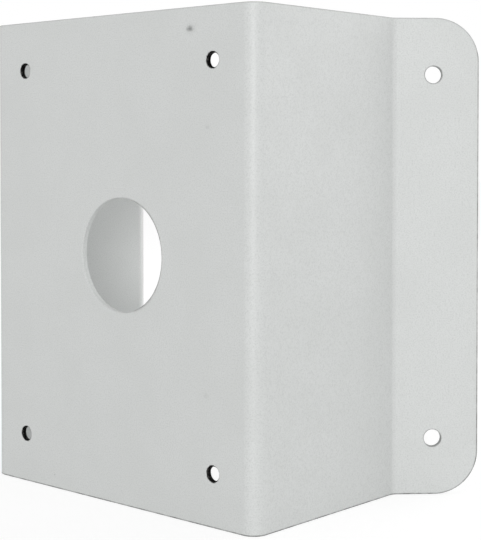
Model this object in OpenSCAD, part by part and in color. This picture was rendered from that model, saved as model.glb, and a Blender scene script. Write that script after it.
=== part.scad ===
// Corner mount bracket for a camera: one sheet of steel, folded four times.
// The front plate carries the camera arm, the two side plates reach back past the corner
// of a building, and the two wall flanges lie flat on its walls.
// The bracket stands on its lower cut edge with the front plate facing -Y.

/* [Sheet] */
// Thickness of the sheet
sheet_t = 3; // [2:0.5:4]
// Inside radius of every fold
fold_r = 4.5; // [3:0.5:9]
// Rounding of the cut edges under the coating
edge_r = 0.5; // [0.2:0.1:0.8]

/* [Front plate and side plates] */
// Height of the bracket
plate_h = 240; // [230:5:320]
// Width over the outer faces of the side plates
front_w = 186; // [170:2:208]
// Depth from the front face to the fold line of the wall flange
side_d = 105; // [94:1:160]

/* [Wall flanges] */
// Angle of the building's corner that the flanges lie on
wall_angle = 90; // [85:1:100]
// Width of a flange from its fold line to its free edge
flange_w = 43; // [40:1:60]
// Corner radius of a flange
flange_corner_r = 22; // [5:1:24]

/* [Tapped holes for the camera arm] */
// Inside diameter of the thread, M8
thread_bore_d = 6.65; // [6:0.05:7]
// Diameter of the thread's countersunk mouth, on both faces
thread_mouth_d = 8.1; // [7.2:0.1:8.6]
// Spacing of the tapped holes across the plate
thread_spacing_x = 134; // [80:1:140]
// Spacing of the tapped holes up the plate
thread_spacing_z = 190; // [100:1:210]

/* [Cable hole] */
// Diameter of the cable hole
cable_hole_d = 56; // [30:1:70]
// Offset of the cable hole to the right of the plate's middle
cable_hole_x = 5.5; // [-8:0.5:8]
// Offset of the cable hole above the plate's middle
cable_hole_z = 2.5; // [-10:0.5:10]

/* [Wall screw holes] */
// Diameter of the wall screw holes
wall_hole_d = 8.5; // [5:0.5:10]
// Distance of a wall screw hole from the flange's fold line
wall_hole_in = 20; // [16:0.5:24]
// Spacing of the wall screw holes up a flange
wall_hole_spacing_z = 183; // [120:1:200]

/* [Hidden] */
$fn = 96;
// Grey-white powder coat
coat_colour = [0.8, 0.81, 0.8];
// Overshoot of a cutter beyond the face that it leaves
cut_over = 1;
// Outside radius of every fold
fold_outer_r = fold_r + sheet_t;
// A flange turns outwards from its side plate by half of the building's corner
flange_turn = wall_angle / 2;
// Flat run that the flange's fold takes from each side of its fold line
fold_reach = fold_r * tan(flange_turn / 2);
// Length of the front plate's flat run
front_flat = front_w - 2 * fold_outer_r;
// Length of a side plate's flat run
side_flat = side_d - fold_outer_r - fold_reach;
// Length of a flange's flat run up to its round corners
flange_straight = flange_w - fold_reach - flange_corner_r;
// Depth over the whole bracket, out to the rounded back edge of a flange
total_d = side_d + (flange_w - edge_r) * cos(flange_turn)
        + (sheet_t - edge_r) * sin(flange_turn) + edge_r;

// Rounding of one cut edge, in the corner at the origin: a quarter disc that faces -X and -Y
module edge_round() {
    translate([edge_r, edge_r]) intersection() {
        circle(edge_r);
        translate([-2 * edge_r, -2 * edge_r]) square(2 * edge_r);
    }
}

// Cross-section of the sheet between its two cut edges: thickness along +X, height along Y
module sheet_section() {
    translate([sheet_t / 2, 0]) {
        square([sheet_t, plate_h - 2 * edge_r], center = true);
        square([sheet_t - 2 * edge_r, plate_h], center = true);
        for (back = [0, 1], upper = [0, 1])
            mirror([back, 0]) mirror([0, upper])
                translate([-sheet_t / 2, -plate_h / 2]) edge_round();
    }
}

// Cross-section of a length of sheet that ends in one cut edge: thickness along +Y, cut edge at X = run
module edge_section(run) {
    square([run - edge_r, sheet_t]);
    translate([0, edge_r]) square([run, sheet_t - 2 * edge_r]);
    for (back = [0, 1])
        translate([run, back * sheet_t]) mirror([1, 0]) mirror([0, back]) edge_round();
}

// Upright flat run of sheet, from the origin along +X, with its thickness along +Y
module flat_run(run) {
    rotate([90, 0, 90]) linear_extrude(run) sheet_section();
}

// Upright fold about the Z axis, from the +X side round to the given angle
module fold(turn) {
    rotate_extrude(angle = turn) translate([fold_r, 0]) sheet_section();
}

// Round hole with rounded mouths, along +Y through a sheet whose front face is at Y = 0
module soft_hole(d) {
    mouth_r = d / 2 + edge_r;
    rotate([-90, 0, 0]) rotate_extrude() {
        translate([0, edge_r]) square([d / 2, sheet_t - 2 * edge_r]);
        for (back = [0, 1])
            translate([0, back * sheet_t]) mirror([0, back]) difference() {
                translate([0, -cut_over]) square([mouth_r, edge_r + cut_over]);
                translate([mouth_r, edge_r]) circle(edge_r);
            }
    }
}

// Tapped hole's bore with a countersunk mouth on both faces, placed like a soft hole
module tapped_hole() {
    mouth_depth = (thread_mouth_d - thread_bore_d) / 2;
    rotate([-90, 0, 0]) {
        translate([0, 0, -cut_over]) cylinder(d = thread_bore_d, h = sheet_t + 2 * cut_over);
        for (back = [0, 1])
            translate([0, 0, back * sheet_t]) mirror([0, 0, back])
                translate([0, 0, -cut_over])
                    cylinder(d1 = thread_mouth_d + 2 * cut_over, d2 = thread_bore_d,
                             h = mouth_depth + cut_over);
    }
}

// Front plate between its two folds, with the cable hole and the four tapped holes
module front_plate() {
    difference() {
        translate([-front_flat / 2, 0, 0]) flat_run(front_flat);
        translate([cable_hole_x, 0, cable_hole_z]) soft_hole(cable_hole_d);
        for (x = [-1, 1], z = [-1, 1])
            translate([x * thread_spacing_x / 2, 0, z * thread_spacing_z / 2]) tapped_hole();
    }
}

// Wall flange from its fold along +X, with two round corners and two wall screw holes
module wall_flange() {
    difference() {
        union() {
            flat_run(flange_straight);
            translate([flange_straight, 0, 0])
                linear_extrude(plate_h - 2 * flange_corner_r, center = true)
                    edge_section(flange_corner_r);
            for (upper = [0, 1])
                mirror([0, 0, upper])
                    translate([flange_straight, sheet_t, flange_corner_r - plate_h / 2])
                        rotate([90, 0, 0]) rotate(-90)
                            rotate_extrude(angle = 90) edge_section(flange_corner_r);
        }
        for (z = [-1, 1])
            translate([wall_hole_in - fold_reach, 0, z * wall_hole_spacing_z / 2])
                soft_hole(wall_hole_d);
    }
}

// Everything to the right of the front plate: its fold, the side plate and the wall flange
module side_and_flange() {
    translate([front_flat / 2, fold_outer_r, 0]) {
        rotate(-90) fold(90);
        translate([fold_outer_r, 0, 0]) rotate(90) flat_run(side_flat);
        translate([fold_outer_r + fold_r, side_flat, 0]) {
            rotate(180 - flange_turn) fold(flange_turn);
            rotate(90 - flange_turn) translate([0, fold_r, 0]) wall_flange();
        }
    }
}

// The folded sheet, standing on its lower cut edge
module bracket() {
    color(coat_colour)
        translate([0, -total_d / 2, plate_h / 2]) {
            front_plate();
            for (left = [0, 1]) mirror([left, 0, 0]) side_and_flange();
        }
}

bracket();
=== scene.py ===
"""Camera mount bracket: one folded, tapped and powder coated sheet of steel in a pale studio.

The sheet is worked out flat, in the coordinates (s, z, depth): s runs across the sheet from the
middle of the front plate and round the folds, z runs up from its mid-height, and depth runs in
from the face that is seen. SheetPath bends that block of space into the bracket's shape. All
sheet sizes are in millimetres, and the finished meshes are in metres.
"""

import logging
import math
from dataclasses import dataclass, field
from enum import Enum
from typing import Sequence

import bmesh
import bpy
import numpy as np
from mathutils import Matrix, Vector


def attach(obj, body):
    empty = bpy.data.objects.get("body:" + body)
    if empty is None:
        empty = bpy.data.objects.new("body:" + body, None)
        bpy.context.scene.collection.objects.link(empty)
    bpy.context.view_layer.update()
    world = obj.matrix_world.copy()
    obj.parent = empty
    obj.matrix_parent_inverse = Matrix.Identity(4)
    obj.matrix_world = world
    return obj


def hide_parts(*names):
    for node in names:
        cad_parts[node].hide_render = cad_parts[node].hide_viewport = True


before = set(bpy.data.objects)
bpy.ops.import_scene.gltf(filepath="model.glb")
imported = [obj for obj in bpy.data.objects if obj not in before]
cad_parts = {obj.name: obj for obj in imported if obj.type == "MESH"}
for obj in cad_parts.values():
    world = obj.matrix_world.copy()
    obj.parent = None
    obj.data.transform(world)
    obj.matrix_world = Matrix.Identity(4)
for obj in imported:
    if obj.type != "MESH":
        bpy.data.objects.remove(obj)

log = logging.getLogger("bracket")
Colour = tuple[float, float, float]
MM = 0.001
CM3_PER_M3 = 1e6
# Distance in metres under which the points of two patches are one
WELD_DISTANCE = 1e-6
# Slack in mm of a comparison between two lines of the flat sheet
SLACK = 1e-6
WHITE = (1.0, 1.0, 1.0)


class Finish(Enum):
    """The two finishes of the sheet, by their material index."""

    POWDER_COAT = 0
    CUT_THREAD = 1


class Face(Enum):
    """Which face of the sheet a surface lies on."""

    OUTER = "outer"
    INNER = "inner"


# Finishes


@dataclass
class Nodes:
    """The node tree of a material or of the world, with short ways to add to it."""

    owner: bpy.types.Material | bpy.types.World

    @classmethod
    def start(cls, name: str) -> "Nodes":
        """Makes an empty node material.

        Args:
            name: The material's name.

        Returns:
            Its node tree.
        """
        material = bpy.data.materials.new(name)
        material.use_nodes = True
        material.node_tree.nodes.clear()
        return cls(material)

    def add(self, kind: str, **values: object) -> bpy.types.Node:
        """Adds a node.

        Args:
            kind: The node's type.
            **values: Its properties, or inputs where the name starts with "in_".

        Returns:
            The node.
        """
        node = self.owner.node_tree.nodes.new(kind)
        for name, value in values.items():
            if name.startswith("in_"):
                key = name[3:]
                node.inputs[int(key) if key.isdigit() else key].default_value = value
            else:
                setattr(node, name, value)
        return node

    def link(self, out: bpy.types.NodeSocket, into: bpy.types.NodeSocket) -> None:
        """Joins two sockets."""
        self.owner.node_tree.links.new(out, into)

    def place(self) -> bpy.types.NodeSocket:
        """Gives the place on the object, in metres."""
        return self.add("ShaderNodeTexCoord").outputs["Object"]

    def math(self, operation: str, *terms: object) -> bpy.types.NodeSocket:
        """Adds a Math node.

        Args:
            operation: Its operation.
            *terms: Its inputs, each a socket or a number.

        Returns:
            Its output.
        """
        node = self.add("ShaderNodeMath", operation=operation)
        for i, term in enumerate(terms):
            if isinstance(term, bpy.types.NodeSocket):
                self.link(term, node.inputs[i])
            else:
                node.inputs[i].default_value = term
        return node.outputs[0]

    def ramp(
        self,
        factor: bpy.types.NodeSocket,
        low: tuple[float, float],
        high: tuple[float, float],
        smooth: bool = True,
    ) -> bpy.types.NodeSocket:
        """Adds a Map Range node from one span to another.

        Args:
            factor: What is mapped.
            low: The input that gives the first output, and that output.
            high: The input that gives the second output, and that output.
            smooth: Whether the way between them is a smooth step.

        Returns:
            The node's result.
        """
        node = self.add(
            "ShaderNodeMapRange",
            interpolation_type="SMOOTHSTEP" if smooth else "LINEAR",
            in_1=low[0],
            in_2=high[0],
            in_3=low[1],
            in_4=high[1],
        )
        self.link(factor, node.inputs[0])
        return node.outputs[0]

    def tint(
        self, factor: bpy.types.NodeSocket, colour: bpy.types.NodeSocket | Colour, over: Colour
    ) -> bpy.types.NodeSocket:
        """Adds a colour Mix node.

        Args:
            factor: How much of the second colour shows, from 0 to 1.
            colour: The first colour, as a socket or as its values.
            over: The second colour.

        Returns:
            The mixed colour.
        """
        node = self.add("ShaderNodeMix", data_type="RGBA", blend_type="MIX", in_7=(*over, 1.0))
        self.link(factor, node.inputs[0])
        if isinstance(colour, bpy.types.NodeSocket):
            self.link(colour, node.inputs[6])
        else:
            node.inputs[6].default_value = (*colour, 1.0)
        return node.outputs[2]

    def bumped(
        self, height: bpy.types.NodeSocket, strength: float, depth: float
    ) -> bpy.types.NodeSocket:
        """Adds a Bump node.

        Args:
            height: The height, from 0 to 1.
            strength: How strongly it shows, from 0 to 1.
            depth: The depth in metres that a height of 1 stands for.

        Returns:
            The bumped normal.
        """
        node = self.add("ShaderNodeBump", in_Strength=strength, in_Distance=depth)
        self.link(height, node.inputs["Height"])
        return node.outputs["Normal"]

    def mixed(
        self,
        factor: bpy.types.NodeSocket,
        first: bpy.types.NodeSocket,
        second: bpy.types.NodeSocket,
    ) -> bpy.types.NodeSocket:
        """Adds a Mix Shader node.

        Args:
            factor: How much of the second shader shows, from 0 to 1.
            first: The first shader.
            second: The second shader.

        Returns:
            The mixed shader.
        """
        node = self.add("ShaderNodeMixShader")
        for socket, into in zip((factor, first, second), node.inputs):
            self.link(socket, into)
        return node.outputs[0]

    def surface(self, shader: bpy.types.NodeSocket) -> bpy.types.Material:
        """Ends a material's tree with a shader, and gives the material."""
        self.link(shader, self.add("ShaderNodeOutputMaterial").inputs["Surface"])
        return self.owner


@dataclass(frozen=True)
class Grain:
    """A layer of noise in a finish: its scale to the metre, detail and roughness.

    low and high are the noise at which the layer starts and ends, each with its strength there.
    """

    scale: float
    detail: float = 2.0
    rough: float = 0.5
    low: tuple[float, float] = (0.0, 0.0)
    high: tuple[float, float] = (1.0, 1.0)

    def noise(self, n: Nodes, place: bpy.types.NodeSocket) -> bpy.types.NodeSocket:
        """Adds the layer's Noise Texture.

        Args:
            n: The node tree.
            place: Where the noise is read.

        Returns:
            The noise, from 0 to 1.
        """
        node = n.add(
            "ShaderNodeTexNoise", in_Scale=self.scale, in_Detail=self.detail,
            in_Roughness=self.rough,
        )
        n.link(place, node.inputs["Vector"])
        return node.outputs["Fac"]

    def strength(self, n: Nodes, place: bpy.types.NodeSocket) -> bpy.types.NodeSocket:
        """Gives the layer's strength at a place."""
        return n.ramp(self.noise(n, place), self.low, self.high)


@dataclass(frozen=True)
class Mark:
    """A dull speck in the coat.

    s and z are its place on the flat sheet, in mm. radius is in metres, and depth says how dark
    it is in the middle, from 0 to 1.
    """

    s: float
    z: float
    radius: float
    depth: float


@dataclass(frozen=True)
class PowderCoat:
    """Satin grey-white powder coat, duller on the cut edges and darker there: partly a thinner
    coat, partly painted shade.
    """

    colour: Colour = (0.598, 0.611, 0.604)
    cloud_colour: Colour = (0.57, 0.583, 0.574)
    grain_colour: Colour = (0.5, 0.512, 0.505)
    # Painted shade: this dark edge colour stands partly for a thinner coat and partly for the
    # shade on the edges' roundings and in the holes' walls.
    edge_wear_and_shade_colour: Colour = (0.13, 0.133, 0.13)
    mark_colour: Colour = (0.2, 0.206, 0.202)
    cloud: Grain = Grain(38.0, 4.0, 0.55, low=(0.38, 0.0), high=(0.66, 0.55))
    grain: Grain = Grain(520.0, 3.0, 0.6, low=(0.42, 0.0), high=(0.74, 0.5))
    speck: Grain = Grain(1500.0, 2.0, 0.7, low=(0.4, 0.0), high=(0.75, 1.0))
    patchy: Grain = Grain(240.0, 3.0, low=(0.3, 0.45), high=(0.7, 1.0))
    ragged: Grain = Grain(700.0, 3.0, 0.65)
    peel: Grain = Grain(900.0, 2.0, 0.45)
    wave: Grain = Grain(130.0)
    wave_share: float = 1.6
    peel_strength: float = 0.55
    peel_depth: float = 0.00003
    worn_and_shaded_from: float = 0.05
    worn_and_shaded_to: float = 0.8
    mark_squeeze: float = 1.45
    mark_raggedness: float = 0.9
    mark_core: float = 0.1
    mark_rim: float = 1.2
    gloss_low: float = 0.3
    gloss_high: float = 0.7
    roughness: float = 0.4
    cloud_roughness: float = 0.07
    edge_dulling: float = 0.42
    dull_from: float = 0.02
    dull_to: float = 0.08
    refraction: float = 1.5
    specular: float = 0.3

    def shade(
        self, n: Nodes, place: bpy.types.NodeSocket, cloud: bpy.types.NodeSocket
    ) -> bpy.types.NodeSocket:
        """Mixes the colour of the coat on a face.

        Args:
            n: The node tree.
            place: The place on the object.
            cloud: The noise of the coat's cloudiness.

        Returns:
            The colour.
        """
        colour = n.tint(n.ramp(cloud, self.cloud.low, self.cloud.high), self.colour,
                        self.cloud_colour)
        colour = n.tint(self.grain.strength(n, place), colour, self.cloud_colour)
        return n.tint(self.speck.strength(n, place), colour, self.grain_colour)

    def thinned_and_shaded(
        self,
        n: Nodes,
        place: bpy.types.NodeSocket,
        wear_and_shade: bpy.types.NodeSocket,
        colour: bpy.types.NodeSocket,
    ) -> bpy.types.NodeSocket:
        """Darkens the cut edges in patches: partly a thinner coat, partly painted shade.

        Args:
            n: The node tree.
            place: The place on the object.
            wear_and_shade: How thin the coat lies and how much painted shade the edge takes, from
                0 to 1.
            colour: The colour of the full coat.

        Returns:
            The colour.
        """
        # Painted shade: the edge colour goes onto the roundings and walls of the cut edges, and
        # also stands for the thinner coat there.
        worn_and_shaded = n.ramp(wear_and_shade, (self.worn_and_shaded_from, 0.0), (self.worn_and_shaded_to, 1.0))
        thin_and_shade = n.math("MULTIPLY", worn_and_shaded, self.patchy.strength(n, place))
        return n.tint(thin_and_shade, colour, self.edge_wear_and_shade_colour)

    def marked(
        self,
        n: Nodes,
        place: bpy.types.NodeSocket,
        colour: bpy.types.NodeSocket,
        marks: Sequence[tuple[Vector, Mark]],
    ) -> bpy.types.NodeSocket:
        """Puts the marks on the coat, each a ragged spot that is wider than high.

        Args:
            n: The node tree.
            place: The place on the object.
            colour: The colour without the marks.
            marks: The marks, each with its place in metres.

        Returns:
            The colour.
        """
        uneven = n.math("SUBTRACT", self.ragged.noise(n, place), 0.5)
        uneven = n.math("MULTIPLY", uneven, self.mark_raggedness)
        for centre, mark in marks:
            offset = n.add("ShaderNodeVectorMath", operation="SUBTRACT", in_1=centre)
            n.link(place, offset.inputs[0])
            squeezed = n.add(
                "ShaderNodeVectorMath", operation="MULTIPLY", in_1=(1.0, 1.0, self.mark_squeeze)
            )
            n.link(offset.outputs[0], squeezed.inputs[0])
            away = n.add("ShaderNodeVectorMath", operation="LENGTH")
            n.link(squeezed.outputs[0], away.inputs[0])
            reach = n.math("DIVIDE", away.outputs["Value"], mark.radius)
            reach = n.math("ADD", reach, uneven)
            spot = n.ramp(reach, (self.mark_core, mark.depth), (self.mark_rim, 0.0))
            colour = n.tint(spot, colour, self.mark_colour)
        return colour

    def material(self, marks: Sequence[tuple[Vector, Mark]]) -> bpy.types.Material:
        """Builds the coat.

        Args:
            marks: The marks on it, each with its place in metres.

        Returns:
            The material.
        """
        n = Nodes.start("satin_grey_white_coat")
        place = n.place()
        # wear_and_shade carries the cut edges' thinner coat together with their painted shade.
        wear_and_shade = n.add("ShaderNodeAttribute", attribute_name="wear_and_shade").outputs["Fac"]
        cloud = self.cloud.noise(n, place)
        colour = self.thinned_and_shaded(n, place, wear_and_shade, self.shade(n, place, cloud))
        colour = self.marked(n, place, colour, marks)
        gloss = n.ramp(cloud, (self.gloss_low, self.roughness),
                       (self.gloss_high, self.roughness + self.cloud_roughness), smooth=False)
        dull = n.ramp(wear_and_shade, (self.dull_from, 0.0), (self.dull_to, self.edge_dulling), smooth=False)
        wave = n.math("MULTIPLY", self.wave.noise(n, place), self.wave_share)
        height = n.math("ADD", self.peel.noise(n, place), wave)
        shader = n.add("ShaderNodeBsdfPrincipled", in_IOR=self.refraction)
        shader.inputs["Specular IOR Level"].default_value = self.specular
        n.link(colour, shader.inputs["Base Color"])
        n.link(n.math("ADD", gloss, dull), shader.inputs["Roughness"])
        normal = n.bumped(height, self.peel_strength, self.peel_depth)
        n.link(normal, shader.inputs["Normal"])
        return n.surface(shader.outputs[0])


@dataclass(frozen=True)
class CutThread:
    """Bare steel of the cut threads, coloured nearly black as painted shade inside the tapped
    holes.
    """

    # Painted shade: this near-black colour stands in for the shade inside the tapped holes.
    shade_black: Colour = (0.004, 0.004, 0.004)
    bright: Colour = (0.07, 0.069, 0.066)
    film: Grain = Grain(900.0, 4.0, 0.6, low=(0.46, 0.0), high=(0.74, 1.0))
    score: Grain = Grain(4200.0)
    score_strength: float = 0.5
    score_depth: float = 0.00003
    gloss_low: float = 0.3
    gloss_high: float = 0.7
    roughness: float = 0.42
    film_roughness: float = 0.25

    def material(self) -> bpy.types.Material:
        """Builds the steel, nearly black as painted shade.

        Returns:
            The material.
        """
        n = Nodes.start("shade_black_cut_steel")
        place = n.place()
        film = self.film.noise(n, place)
        colour = n.tint(n.ramp(film, self.film.low, self.film.high), self.shade_black, self.bright)
        gloss = n.ramp(film, (self.gloss_low, self.roughness),
                       (self.gloss_high, self.roughness + self.film_roughness))
        normal = n.bumped(self.score.noise(n, place), self.score_strength, self.score_depth)
        shader = n.add("ShaderNodeBsdfPrincipled", in_Metallic=1.0)
        n.link(colour, shader.inputs["Base Color"])
        n.link(gloss, shader.inputs["Roughness"])
        n.link(normal, shader.inputs["Normal"])
        return n.surface(shader.outputs[0])


# The sheet's shape


@dataclass(frozen=True)
class Run:
    """One run of the bent cross-section: a flat, or a fold with its axis upright.

    length is measured in s. turn is the heading gained over the run, in radians, and is positive
    towards the inside of the bracket. radius is that of the outer face, and has turn's sign.
    """

    length: float
    turn: float = 0.0
    radius: float = 0.0


@dataclass(frozen=True)
class SheetPath:
    """Bends the flat block (s, z, depth) into the bracket."""

    runs: tuple[Run, ...]
    front_y: float
    middle_z: float

    def starts(self) -> list[float]:
        """Gives the s at which each run starts, and the one at which the last ends."""
        return [0.0, *np.cumsum([run.length for run in self.runs]).tolist()]

    def place(self, s: np.ndarray, z: np.ndarray, depth: np.ndarray) -> np.ndarray:
        """Bends points of the flat block.

        On a flat, P = P0 + t d + depth n, with heading d and inward normal n. On a fold of
        outer radius R about C = P0 + R n, P = C - (R - depth) n(t), where n turns with t.

        Args:
            s: Distance across the sheet from the middle of the front plate, in mm.
            z: Height over the sheet's mid-height, in mm.
            depth: Distance in from the outer face, in mm.

        Returns:
            The points in the bracket's frame, in metres, with a last axis of three.
        """
        s, z, depth = np.broadcast_arrays(
            np.asarray(s, float), np.asarray(z, float), np.asarray(depth, float)
        )
        side, reach = np.where(s < 0, -1.0, 1.0), np.abs(s)
        x, y = np.zeros_like(reach), np.zeros_like(reach)
        start, px, py, heading = 0.0, 0.0, 0.0, 0.0
        for run in self.runs:
            on, t = reach >= start - SLACK, reach - start
            nx, ny = -math.sin(heading), math.cos(heading)
            if run.turn == 0.0:
                run_x = px + t * ny + depth * nx
                run_y = py - t * nx + depth * ny
                px, py = px + run.length * ny, py - run.length * nx
            else:
                cx, cy = px + run.radius * nx, py + run.radius * ny
                bend = heading + run.turn * t / run.length
                run_x = cx + (run.radius - depth) * np.sin(bend)
                run_y = cy - (run.radius - depth) * np.cos(bend)
                heading += run.turn
                px, py = cx + run.radius * math.sin(heading), cy - run.radius * math.cos(heading)
            x, y = np.where(on, run_x, x), np.where(on, run_y, y)
            start += run.length
        return np.stack((side * x, y + self.front_y, z + self.middle_z), axis=-1) * MM


@dataclass(frozen=True)
class Patch:
    """A grid of points with four-sided faces between them.

    points has the shape (rows, columns, 3), in metres. wear_and_shade says how dark a cut edge is
    painted, from 0 on a face of the sheet to 1: partly a thinner coat, partly painted shade. A
    looped patch closes on itself along its columns, and skip marks the cells that are left open.
    turned reverses the faces.
    """

    points: np.ndarray
    wear_and_shade: np.ndarray
    finish: np.ndarray | None = None
    looped: bool = False
    turned: bool = False
    skip: np.ndarray | None = None

    def faces(self) -> tuple[np.ndarray, np.ndarray]:
        """Numbers the grid's cells.

        Returns:
            The corners of each face, four to a row, and each face's material index.
        """
        rows, columns = self.points.shape[:2]
        number = np.arange(rows * columns).reshape(rows, columns)
        if self.looped:
            number = np.concatenate((number, number[:, :1]), axis=1)
        cells = np.stack(
            (number[:-1, :-1], number[:-1, 1:], number[1:, 1:], number[1:, :-1]), axis=-1
        )
        kind = np.zeros(cells.shape[:2], int) if self.finish is None else self.finish
        kind = np.broadcast_to(kind, cells.shape[:2])
        keep = np.ones(cells.shape[:2], bool) if self.skip is None else ~self.skip
        cells, kind = cells[keep], kind[keep]
        return (cells[:, ::-1] if self.turned else cells), kind


def ruled(*stops: tuple[float, int]) -> np.ndarray:
    """Divides each stretch between two stops evenly.

    Args:
        *stops: The places that must be on a line, rising, each with the number of cells from
            there to the next.

    Returns:
        The lines, from the first stop to the last.
    """
    parts = [
        np.linspace(here, there, cells, endpoint=False)
        for (here, cells), (there, _) in zip(stops[:-1], stops[1:])
    ]
    return np.concatenate((*parts, [stops[-1][0]]))


def mirrored(half: np.ndarray) -> np.ndarray:
    """Adds to rising values from 0 their negatives."""
    return np.concatenate((-half[:0:-1], half))


def span(side: int, low: float, high: float) -> tuple[float, float]:
    """Puts the stretch from low to high on one side of 0, its lower end first."""
    return (low, high) if side > 0 else (-high, -low)


def smooth(t: np.ndarray) -> np.ndarray:
    """Rises from 0 at 0 to 1 at 1 and is level at both: 3 t^2 - 2 t^3."""
    return t * t * (3.0 - 2.0 * t)


def on_disc(a: np.ndarray, b: np.ndarray) -> tuple[np.ndarray, np.ndarray]:
    """Maps the unit square onto a quarter disc, concentrically.

    A point's radius is r = max(a, b), and its angle is pi/4 * b/a below the diagonal and
    pi/2 - pi/4 * a/b above it, so lines along the square's sides become arcs.

    Args:
        a: First coordinate, from 0 to 1.
        b: Second coordinate, from 0 to 1.

    Returns:
        The two coordinates in the quarter disc.
    """
    r = np.maximum(a, b)
    low, safe = a >= b, np.where(r > 0, r, 1.0)
    angle = np.where(low, math.pi / 4 * b / safe, math.pi / 2 - math.pi / 4 * a / safe)
    return r * np.cos(angle), r * np.sin(angle)


@dataclass(frozen=True)
class EdgeWearAndShade:
    """How dark the cut edges are painted, from 0 for the full coat to 1: partly a thinner coat,
    partly painted shade.

    rim is the share at which the rounding of an edge starts, and the walls are the shares on
    the straight middle of an edge; hole_wall paints the plain holes' walls dark as the shade in
    them.
    heights are shares of the sheet's height over its middle, and outline is the darkening there,
    along the outer edges: painted shade, heaviest on the bottom edges, which face down, and
    lightest on the top ones. The holes have one value each.
    """

    rim: float = 0.6
    outline_wall: float = 0.25
    # Painted shade: the walls of the plain holes are darkened as the shade inside them.
    hole_wall: float = 0.9
    # Painted shade: the outer edges are darkest at the bottom, where their roundings face down,
    # and lightest at the top.
    heights: tuple[float, ...] = (-0.5, -0.4, 0.42, 0.5)
    outline: tuple[float, ...] = (1.0, 0.95, 0.7, 0.35)
    # Painted shade: the cable hole's rim is dark on its +s side, which faces away from the light,
    # and hardly at all on the lit side.
    cable_hole: float = 0.8
    cable_hole_even: float = 0.05
    tapped_hole: float = 0.3
    wall_hole: float = 0.55


@dataclass(frozen=True)
class Hole:
    """A round hole, and the block of the grid that makes room for it.

    centre and block are in (s, z). block gives the lowest and highest s, then z. radius is that
    of the circle at which the flat face ends. thin_and_shade says how dark its rim is painted,
    from 0 to 1, for a thinner coat and painted shade, and even is the share of that on the side
    that faces the light. side_slope and side_lift say how soon the painted shade comes on towards
    +s, on the side that faces away from the light.
    """

    centre: tuple[float, float]
    radius: float
    block: tuple[float, float, float, float]
    thin_and_shade: float
    even: float = 1.0
    side_slope: float = 1.3
    side_lift: float = 0.1

    def thinness_and_shade(self, angle: np.ndarray) -> np.ndarray:
        """Says how dark the rim is painted round the hole, thinner coat and painted shade, where
        the angle 0 points along +s.
        """
        side = np.clip(self.side_slope * np.cos(angle) + self.side_lift, 0.0, 1.0)
        return self.thin_and_shade * (self.even + (1.0 - self.even) * side)


@dataclass(frozen=True)
class Thread:
    """An M8 thread cut through the sheet.

    The radii, the pitch and bare_from, the depth under which the coat ends, are in mm.
    root_half and flank are shares of the pitch: half of the rounded root, and one flank.
    """

    minor_r: float = 3.325
    major_r: float = 4.0
    mouth_r: float = 4.05
    pitch: float = 1.25
    root_half: float = 0.09
    flank: float = 0.27
    bare_from: float = 0.12
    rows: int = 60

    def radius(self, angle: np.ndarray, depth: np.ndarray, sheet_t: float) -> np.ndarray:
        """Works out the radius of the tapped hole's wall.

        The turn's place is f = depth/pitch + angle/(2 pi), modulo 1. The wall rises from the
        crest to the root at f = 1/2 and falls back along smooth flanks, and a 45 degree cone
        mouth_r - depth cuts it off at both faces: r = max(thread, cone).

        Args:
            angle: Angle round the hole, seen from the outer face, in radians.
            depth: Distance in from the outer face, in mm.
            sheet_t: The sheet's thickness, in mm.

        Returns:
            The radius at each angle and depth, in mm.
        """
        place = np.mod(depth / self.pitch + angle / (2 * math.pi), 1.0)
        up = np.clip((np.abs(place - 0.5) - self.root_half) / self.flank, 0.0, 1.0)
        cut = self.minor_r + (self.major_r - self.minor_r) * (1.0 - smooth(up))
        cone = self.mouth_r - np.minimum(depth, sheet_t - depth)
        return np.maximum(cut, cone)


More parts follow.
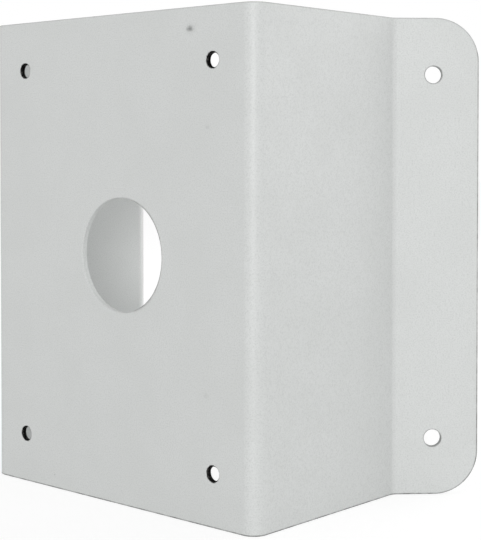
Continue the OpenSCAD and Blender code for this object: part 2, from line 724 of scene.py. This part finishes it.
@dataclass
class FoldedSheet:
    """The bracket's sheet: front plate, two side plates and two wall flanges, in one piece.

    The sizes are in mm. The rooms are half the width of the block of the grid that each kind of
    hole has round it. guard and fold_guard are the widths of the narrow cells beside a cut edge
    and beside a fold, which keep the shading of the flats even. collar_rings are the shares of
    the way from a hole's circle to its block at which a ring of points lies.
    """

    sheet_t: float = 3.0
    fold_r: float = 4.5
    edge_r: float = 0.5
    plate_h: float = 240.0
    front_w: float = 186.0
    side_d: float = 105.0
    flange_w: float = 42.99
    flange_corner_r: float = 22.0
    flange_turn: float = math.radians(45)
    thread_spacing_x: float = 134.0
    thread_spacing_z: float = 190.0
    cable_hole_r: float = 28.0
    cable_hole_at: tuple[float, float] = (5.5, 2.5)
    wall_hole_r: float = 4.25
    wall_hole_in: float = 20.0
    wall_hole_spacing_z: float = 183.0
    cable_room: float = 42.0
    thread_room: float = 10.0
    wall_room: float = 7.0
    guard: float = 0.4
    fold_guard: float = 0.8
    collar_rings: tuple[float, ...] = (0.0, 0.05, 0.25, 0.58, 1.0)
    edge_cells: int = 6
    thread: Thread = Thread()
    edge_wear_and_shade: EdgeWearAndShade = EdgeWearAndShade()
    coat: PowderCoat = PowderCoat()
    steel: CutThread = CutThread()
    marks: tuple[Mark, ...] = (
        Mark(52.5, 110.0, 0.0023, 0.9),
        Mark(53.0, 109.9, 0.0044, 0.17),
        Mark(63.6, 64.3, 0.0017, 0.16),
        Mark(62.6, -59.4, 0.0020, 0.13),
        Mark(-44.4, -113.2, 0.0007, 0.5),
    )
    path: SheetPath = field(init=False)
    corner: tuple[float, float] = field(init=False)
    s_lines: np.ndarray = field(init=False)
    z_lines: np.ndarray = field(init=False)
    cable_hole: Hole = field(init=False)
    tapped_holes: list[Hole] = field(init=False)
    wall_holes: list[Hole] = field(init=False)
    piece: bpy.types.Object | None = field(init=False, default=None)

    def __post_init__(self) -> None:
        """Works out the path of the sheet, the lines of its grid and its holes."""
        outer_r = self.fold_r + self.sheet_t
        reach = self.fold_r * math.tan(self.flange_turn / 2)
        total_d = (
            self.side_d
            + (self.flange_w - self.edge_r) * math.cos(self.flange_turn)
            + (self.sheet_t - self.edge_r) * math.sin(self.flange_turn)
            + self.edge_r
        )
        self.path = SheetPath(
            runs=(
                Run(self.front_w / 2 - outer_r),
                Run(outer_r * math.pi / 2, math.pi / 2, outer_r),
                Run(self.side_d - outer_r - reach),
                Run(outer_r * self.flange_turn, -self.flange_turn, -self.fold_r),
                Run(self.flange_w - reach),
            ),
            front_y=-total_d / 2,
            middle_z=self.plate_h / 2,
        )
        flange_start, flange_end = self.path.starts()[-2:]
        top = self.plate_h / 2
        self.corner = (flange_end - self.flange_corner_r, top - self.flange_corner_r)
        thread_at = (self.thread_spacing_x / 2, self.thread_spacing_z / 2)
        wall_at = (flange_start + self.wall_hole_in - reach, self.wall_hole_spacing_z / 2)
        self.rule_grid(thread_at, wall_at[0])
        self.set_holes(thread_at, wall_at)

    def rule_grid(self, thread_at: tuple[float, float], wall_hole_s: float) -> None:
        """Rules the lines of the grid, so that a line lies on each border.

        Args:
            thread_at: The s and z of the tapped hole on the right and above.
            wall_hole_s: The s of the right wall holes.
        """
        _, front, side, bend, flange, end = self.path.starts()
        near, fold_near = self.guard, self.fold_guard
        self.s_lines = mirrored(ruled(
            (0.0, 14),
            (self.cable_room, 3),
            (thread_at[0] - self.thread_room, 12),
            (thread_at[0] + self.thread_room, 2),
            (front - fold_near, 1),
            (front, 16),
            (side, 1),
            (side + fold_near, 8),
            (bend - fold_near, 1),
            (bend, 10),
            (flange, 1),
            (flange + fold_near, 3),
            (wall_hole_s - self.wall_room, 7),
            (self.corner[0], 5),
            (wall_hole_s + self.wall_room, 7),
            (end - self.edge_r - near, 1),
            (end - self.edge_r, 0),
        ))
        top = self.plate_h / 2
        self.z_lines = mirrored(ruled(
            (0.0, 14),
            (self.cable_room, 6),
            (thread_at[1] - self.thread_room, 12),
            (self.corner[1], 4),
            (thread_at[1] + self.thread_room, 7),
            (top - self.edge_r - near, 1),
            (top - self.edge_r, 0),
        ))

    def set_holes(self, thread_at: tuple[float, float], wall_at: tuple[float, float]) -> None:
        """Places the nine holes, each with its block of the grid.

        Args:
            thread_at: The s and z of the tapped hole on the right and above.
            wall_at: The s and z of the wall hole on the right and above.
        """
        room, wall_room = self.thread_room, self.wall_room
        lower = thread_at[1] - room
        quarters = [(x, z) for x in (-1, 1) for z in (-1, 1)]
        self.cable_hole = Hole(
            self.cable_hole_at,
            self.cable_hole_r + self.edge_r,
            (-self.cable_room, self.cable_room, -self.cable_room, self.cable_room),
            self.edge_wear_and_shade.cable_hole,
            even=self.edge_wear_and_shade.cable_hole_even,
        )
        self.tapped_holes = [
            Hole(
                (x * thread_at[0], z * thread_at[1]),
                self.thread.mouth_r,
                (*span(x, thread_at[0] - room, thread_at[0] + room),
                 *span(z, lower, thread_at[1] + room)),
                self.edge_wear_and_shade.tapped_hole,
            )
            for x, z in quarters
        ]
        self.wall_holes = [
            Hole(
                (x * wall_at[0], z * wall_at[1]),
                self.wall_hole_r + self.edge_r,
                (*span(x, wall_at[0] - wall_room, wall_at[0] + wall_room),
                 *span(z, lower, self.corner[1])),
                self.edge_wear_and_shade.wall_hole,
            )
            for x, z in quarters
        ]

    def grid(self) -> tuple[np.ndarray, np.ndarray]:
        """Lays the flat grid out, with the corners of the flanges made round.

        Returns:
            The s and z of every crossing, with s along the first axis.
        """
        s, z = np.meshgrid(self.s_lines, self.z_lines, indexing="ij")
        cs, cz = self.corner
        r = self.flange_corner_r - self.edge_r
        a = np.clip((np.abs(s) - cs) / r, 0.0, 1.0)
        b = np.clip((np.abs(z) - cz) / r, 0.0, 1.0)
        round_a, round_b = on_disc(a, b)
        inside = (a > 0) & (b > 0)
        s = np.where(inside, np.sign(s) * (cs + r * round_a), s)
        z = np.where(inside, np.sign(z) * (cz + r * round_b), z)
        return s, z

    def holes(self) -> list[Hole]:
        """Gives all nine holes."""
        return [self.cable_hole, *self.tapped_holes, *self.wall_holes]

    def block_lines(self, hole: Hole) -> tuple[slice, slice]:
        """Finds the grid's lines between which a hole's block lies.

        Args:
            hole: The hole.

        Returns:
            The lines along s and along z, both ends included.
        """
        s0, s1 = np.searchsorted(self.s_lines, np.array(hole.block[:2]) - SLACK)
        z0, z1 = np.searchsorted(self.z_lines, np.array(hole.block[2:]) - SLACK)
        return slice(s0, s1 + 1), slice(z0, z1 + 1)

    def collar(self, hole: Hole) -> tuple[np.ndarray, np.ndarray, np.ndarray]:
        """Fills the ground between a hole's circle and its block's border.

        Border point B_k and circle point C_k are joined by P = C_k + w (B_k - C_k). Each side
        of the block takes a quarter of the circle, from one diagonal to the next.

        Args:
            hole: The hole.

        Returns:
            The s and z of the rings, circle first, and the angles of the circle's points.
        """
        along, up = self.block_lines(hole)
        s, z = self.s_lines[along], self.z_lines[up]
        n, m = len(s) - 1, len(z) - 1
        border_s = np.concatenate((s[:-1], np.full(m, s[-1]), s[:0:-1], np.full(m, s[0])))
        border_z = np.concatenate((np.full(n, z[0]), z[:-1], np.full(n, z[-1]), z[:0:-1]))
        # The border starts at its lower left corner, one and a half right angles before +s
        quarter = [np.arange(k) / k for k in (n, m, n, m)]
        angle = np.concatenate([(i - 1.5 + part) for i, part in enumerate(quarter)]) * math.pi / 2
        weight = np.array(self.collar_rings)[:, None]
        circle_s = hole.centre[0] + hole.radius * np.cos(angle)
        circle_z = hole.centre[1] + hole.radius * np.sin(angle)
        return (
            circle_s + weight * (border_s - circle_s),
            circle_z + weight * (border_z - circle_z),
            angle,
        )

    def edge_profile(self, wall_wear_and_shade: float) -> tuple[np.ndarray, np.ndarray, np.ndarray]:
        """Draws the cut edge's profile: a quarter circle, the straight wall, a quarter circle.

        The quarter circle is offset e sin(a), depth e (1 - cos(a)) for a from 0 to pi/2. The
        wear and painted shade is low + (1 - low) sin(2a), darkest on the rounding, where low is
        the rim's up to pi/4 and then the wall's.

        Args:
            wall_wear_and_shade: The wear and painted shade of the straight wall.

        Returns:
            The offset out of the flat face, the depth, and the wear and painted shade at each of
            its points.
        """
        a = np.linspace(0, math.pi / 2, self.edge_cells + 1)
        offset = self.edge_r * np.sin(a)
        depth = self.edge_r * (1 - np.cos(a))
        low = np.where(a < math.pi / 4, self.edge_wear_and_shade.rim, wall_wear_and_shade)
        wear_and_shade = low + (1 - low) * np.sin(2 * a)
        return (
            np.concatenate((offset, offset[::-1])),
            np.concatenate((depth, self.sheet_t - depth[::-1])),
            np.concatenate((wear_and_shade, wear_and_shade[::-1])),
        )

    def carry_edge(
        self,
        line: tuple[np.ndarray, np.ndarray],
        out: tuple[np.ndarray, np.ndarray],
        thin_and_shade: np.ndarray,
        wall_wear_and_shade: float,
        turned: bool = False,
    ) -> Patch:
        """Carries the cut edge's profile along a closed line of the flat sheet.

        Args:
            line: The line's s and z.
            out: The s and z of the unit vector that points out of the flat face.
            thin_and_shade: How much darker this edge is painted, for a thinner coat and painted
                shade, from 0 to 1.
            wall_wear_and_shade: The wear and painted shade of the straight wall where
                thin_and_shade is 1.
            turned: Whether the faces are reversed.

        Returns:
            The surface of the cut edge.
        """
        offset, depth, wear_and_shade = (value[:, None] for value in self.edge_profile(wall_wear_and_shade))
        points = self.path.place(line[0] + offset * out[0], line[1] + offset * out[1], depth)
        worn_and_shaded = np.broadcast_to(wear_and_shade * thin_and_shade, points.shape[:2])
        return Patch(points, worn_and_shaded, looped=True, turned=turned)

    def face_patches(self, face: Face) -> list[Patch]:
        """Builds one face of the sheet, with its holes left open and collared.

        Args:
            face: The outer or the inner face.

        Returns:
            One collar for each hole, and the grid of the face.
        """
        depth = 0.0 if face is Face.OUTER else self.sheet_t
        turned = face is Face.OUTER
        s, z = self.grid()
        skip = np.zeros((s.shape[0] - 1, s.shape[1] - 1), bool)
        patches = []
        for hole in self.holes():
            along, up = self.block_lines(hole)
            skip[along.start : along.stop - 1, up.start : up.stop - 1] = True
            ring_s, ring_z, angle = self.collar(hole)
            points = self.path.place(ring_s, ring_z, depth)
            wear_and_shade = np.zeros(points.shape[:2])
            # The rim ring of each hole starts the cut edge's darkening: thinner coat and painted
            # shade.
            wear_and_shade[0] = self.edge_wear_and_shade.rim * hole.thinness_and_shade(angle)
            patches.append(Patch(points, wear_and_shade, looped=True, turned=turned))
        wear_and_shade = np.zeros(s.shape)
        # The border points start the outline's darkening, painted shade heaviest at the bottom.
        for side in (np.s_[0], np.s_[-1], np.s_[:, 0], np.s_[:, -1]):
            wear_and_shade[side] = self.edge_wear_and_shade.rim * self.outline_thinness_and_shade(z[side])
        patches.append(Patch(self.path.place(s, z, depth), wear_and_shade, skip=skip, turned=turned))
        return patches

    def outline_thinness_and_shade(self, z: np.ndarray) -> np.ndarray:
        """Says how dark the outer edges are painted at each height: thinner coat, and painted
        shade heaviest on the bottom edges, which face down.
        """
        return np.interp(z / self.plate_h, self.edge_wear_and_shade.heights, self.edge_wear_and_shade.outline)

    def outline_edge(self) -> Patch:
        """Builds the cut edge round the whole sheet, along the border of the grid.

        Returns:
            The surface of the cut edge.
        """

        def border(value: np.ndarray) -> np.ndarray:
            """Reads the border of an array once round."""
            return np.concatenate(
                (value[:-1, 0], value[-1, :-1], value[:0:-1, -1], value[0, :0:-1])
            )

        s, z = (border(value) for value in self.grid())
        cs, cz = self.corner
        ds, dz = np.clip(np.abs(s) - cs, 0, None), np.clip(np.abs(z) - cz, 0, None)
        length = np.hypot(ds, dz)
        out = np.sign(s) * ds / length, np.sign(z) * dz / length
        thin_and_shade = self.outline_thinness_and_shade(z)
        return self.carry_edge((s, z), out, thin_and_shade, self.edge_wear_and_shade.outline_wall, turned=True)

    def hole_edge(self, hole: Hole) -> Patch:
        """Builds the rounded wall of a plain hole.

        Args:
            hole: The hole.

        Returns:
            The wall.
        """
        ring_s, ring_z, angle = self.collar(hole)
        out = -np.cos(angle), -np.sin(angle)
        thin_and_shade = hole.thinness_and_shade(angle)
        return self.carry_edge((ring_s[0], ring_z[0]), out, thin_and_shade, self.edge_wear_and_shade.hole_wall)

    def tapped_wall(self, hole: Hole) -> Patch:
        """Builds the threaded wall of a tapped hole.

        Args:
            hole: The hole.

        Returns:
            The wall, with the powder coat only on its outermost lip.
        """
        _, _, angle = self.collar(hole)
        depth = np.linspace(0, self.sheet_t, self.thread.rows + 1)[:, None]
        r = self.thread.radius(angle, depth, self.sheet_t)
        points = self.path.place(
            hole.centre[0] + r * np.cos(angle), hole.centre[1] + r * np.sin(angle), depth
        )
        middle = (depth[1:, 0] + depth[:-1, 0]) / 2
        bare = np.minimum(middle, self.sheet_t - middle) > self.thread.bare_from
        kind = np.where(bare, Finish.CUT_THREAD.value, Finish.POWDER_COAT.value)[:, None]
        # The coated lip of the tapped hole is fully darkened: thinner coat and painted shade in
        # the hole's mouth.
        return Patch(points, np.ones(points.shape[:2]), finish=kind, looped=True)

    def build(self) -> None:
        """Joins all surfaces of the sheet into one closed mesh, which stands for the CAD node."""
        patches = [
            *self.face_patches(Face.OUTER),
            *self.face_patches(Face.INNER),
            self.outline_edge(),
            *(self.hole_edge(hole) for hole in (self.cable_hole, *self.wall_holes)),
            *(self.tapped_wall(hole) for hole in self.tapped_holes),
        ]
        self.piece = joined("bracket_sheet", patches)
        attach(self.piece, "root")
        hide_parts("bracket")

    def dress(self) -> None:
        """Gives the mesh its materials, in the order of Finish."""
        marks = [(self.plate_point(mark.s, mark.z), mark) for mark in self.marks]
        materials = {
            Finish.POWDER_COAT: self.coat.material(marks),
            Finish.CUT_THREAD: self.steel.material(),
        }
        for finish in Finish:
            self.piece.data.materials.append(materials[finish])

    def plate_point(self, s: float, z: float) -> Vector:
        """Gives a point of the outer face in the bracket's frame, in metres."""
        return Vector(self.path.place(np.array(s), np.array(z), np.array(0.0)).tolist())


def joined(name: str, patches: Sequence[Patch]) -> bpy.types.Object:
    """Makes one mesh object of several patches, and closes the seams between them.

    Args:
        name: The object's name.
        patches: The patches, whose borders share their points.

    Returns:
        The object, at the origin, with the point attribute "wear_and_shade", which darkens the cut
        edges for a thinner coat and for painted shade.
    """
    points = np.concatenate([patch.points.reshape(-1, 3) for patch in patches])
    wear_and_shade = np.concatenate([patch.wear_and_shade.ravel() for patch in patches])
    first = np.cumsum([0] + [patch.points[..., 0].size for patch in patches[:-1]])
    numbered = [patch.faces() for patch in patches]
    faces = np.concatenate([cells + n for (cells, _), n in zip(numbered, first)])
    kinds = np.concatenate([kind for _, kind in numbered])
    mesh = bpy.data.meshes.new(name)
    mesh.from_pydata(points.tolist(), [], faces.tolist())
    mesh.polygons.foreach_set("material_index", kinds.astype(np.int32))
    mesh.attributes.new("wear_and_shade", "FLOAT", "POINT").data.foreach_set(
        "value", wear_and_shade.astype(np.float32)
    )
    seams = bmesh.new()
    seams.from_mesh(mesh)
    bmesh.ops.remove_doubles(seams, verts=seams.verts, dist=WELD_DISTANCE)
    open_edges = sum(1 for edge in seams.edges if not edge.is_manifold)
    volume = seams.calc_volume(signed=True) * CM3_PER_M3
    seams.to_mesh(mesh)
    seams.free()
    mesh.shade_smooth()
    mesh.update()
    piece = bpy.data.objects.new(name, mesh)
    bpy.context.scene.collection.objects.link(piece)
    log.info(
        "%s: %d faces, %d open edges, %.1f cm3", name, len(mesh.polygons), open_edges, volume
    )
    return piece


# The studio


@dataclass(frozen=True)
class Lamp:
    """A round soft lamp: its place and diameter in metres, and its power in watts."""

    name: str
    place: tuple[float, float, float]
    size: float
    power: float

    def hang(self, target: Vector) -> None:
        """Hangs the lamp.

        Args:
            target: The point that it is aimed at.
        """
        data = bpy.data.lights.new(self.name, "AREA")
        data.shape, data.size, data.energy = "DISK", self.size, self.power
        lamp = bpy.data.objects.new(self.name, data)
        away = Vector(self.place) - target
        turn = away.to_track_quat("Z", "Y").to_matrix().to_4x4()
        lamp.matrix_world = Matrix.Translation(self.place) @ turn
        bpy.context.scene.collection.objects.link(lamp)


@dataclass(frozen=True)
class Studio:
    """A pale floor, a white surround, two soft lamps and the camera.

    Lengths are in metres. The camera's place, yaw and pitch, its focal length and the row that
    its axis meets were worked out from the bracket's outline, the last two in pixels.
    floor_bounce is the floor's colour for the light that it throws back, floor_shade how
    strongly a shadow shows on it, and floor_glow how bright it shows without light.
    """

    eye: tuple[float, float, float] = (0.489312, -0.519308, 0.173875)
    yaw: float = math.radians(41.961)
    pitch: float = math.radians(-1.4)
    focal_px: float = 1352.287
    centre_row: float = 182.882
    height_px: int = 540
    sensor_mm: float = 36.0
    clip: tuple[float, float] = (0.01, 50.0)
    surround: float = 0.67
    lamps: tuple[Lamp, ...] = (
        Lamp("front_lamp", (3.7, -4.75, 0.9), 1.75, 158.0),
        Lamp("back_lamp", (0.42, 1.6, 0.3), 2.2, 20.0),
    )
    target: tuple[float, float, float] = (0.0, 0.0, 0.12)
    floor_half: float = 6.0
    floor_bounce: float = 0.92
    floor_shade: float = 0.3
    floor_glow: float = 0.76

    def camera(self) -> None:
        """Sets the camera up.

        The view direction is f = (-sin yaw cos pitch, cos yaw cos pitch, sin pitch).
        """
        data = bpy.data.cameras.new("camera")
        data.sensor_width = self.sensor_mm
        data.lens = self.focal_px / self.height_px * self.sensor_mm
        data.shift_y = -(self.height_px / 2 - self.centre_row) / self.height_px
        data.clip_start, data.clip_end = self.clip
        forward = Vector((
            -math.sin(self.yaw) * math.cos(self.pitch),
            math.cos(self.yaw) * math.cos(self.pitch),
            math.sin(self.pitch),
        ))
        right = forward.cross(Vector((0, 0, 1))).normalized()
        axes = Matrix((right, right.cross(forward), -forward)).transposed()
        camera = bpy.data.objects.new("camera", data)
        camera.matrix_world = Matrix.Translation(self.eye) @ axes.to_4x4()
        bpy.context.scene.collection.objects.link(camera)
        bpy.context.scene.camera = camera

    def seen(self, n: Nodes) -> bpy.types.NodeSocket:
        """Tells the rays that show the surround itself: seen, mirrored or through glass.

        Args:
            n: The node tree.

        Returns:
            1 for those rays, and 0 for the others.
        """
        rays = n.add("ShaderNodeLightPath")
        both = n.math("MAXIMUM", rays.outputs["Is Camera Ray"], rays.outputs["Is Glossy Ray"])
        return n.math("MAXIMUM", both, rays.outputs["Is Transmission Ray"])

    def world(self) -> None:
        """Makes the surround: white where it shows, and an even soft light elsewhere."""
        world = bpy.data.worlds.new("surround")
        world.use_nodes = True
        world.node_tree.nodes.clear()
        n = Nodes(world)
        light, white = (
            n.add("ShaderNodeBackground", in_Color=(*WHITE, 1.0), in_Strength=strength).outputs[0]
            for strength in (self.surround, 1.0)
        )
        shader = n.mixed(self.seen(n), light, white)
        n.link(shader, n.add("ShaderNodeOutputWorld").inputs["Surface"])
        bpy.context.scene.world = world

    def floor(self) -> None:
        """Lays the floor under the bracket, on which its soft shadow shows."""
        half = self.floor_half
        mesh = bpy.data.meshes.new("floor")
        mesh.from_pydata(
            [(-half, -half, 0), (half, -half, 0), (half, half, 0), (-half, half, 0)],
            [],
            [(0, 1, 2, 3)],
        )
        floor = bpy.data.objects.new("floor", mesh)
        bpy.context.scene.collection.objects.link(floor)
        n = Nodes.start("pale_floor")
        bounce, shade = (
            n.add("ShaderNodeBsdfDiffuse", in_Color=(level, level, level, 1.0)).outputs[0]
            for level in (self.floor_bounce, self.floor_shade)
        )
        glow = n.add("ShaderNodeEmission", in_Color=(*WHITE, 1.0), in_Strength=self.floor_glow)
        shown = n.add("ShaderNodeAddShader")
        n.link(shade, shown.inputs[0])
        n.link(glow.outputs[0], shown.inputs[1])
        mesh.materials.append(n.surface(n.mixed(self.seen(n), bounce, shown.outputs[0])))

    def build(self) -> None:
        """Builds the whole studio."""
        self.camera()
        self.world()
        self.floor()
        for lamp in self.lamps:
            lamp.hang(Vector(self.target))
        bpy.context.scene.view_settings.view_transform = "Standard"
        log.info("studio: camera, surround, floor and %d lamps", len(self.lamps))


def main() -> None:
    """Builds the bracket and the studio, in order."""
    logging.basicConfig(level=logging.INFO, format="%(name)s: %(message)s")
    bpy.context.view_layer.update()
    sheet = FoldedSheet()
    sheet.build()
    sheet.dress()
    Studio().build()


if __name__ == "__main__":
    main()
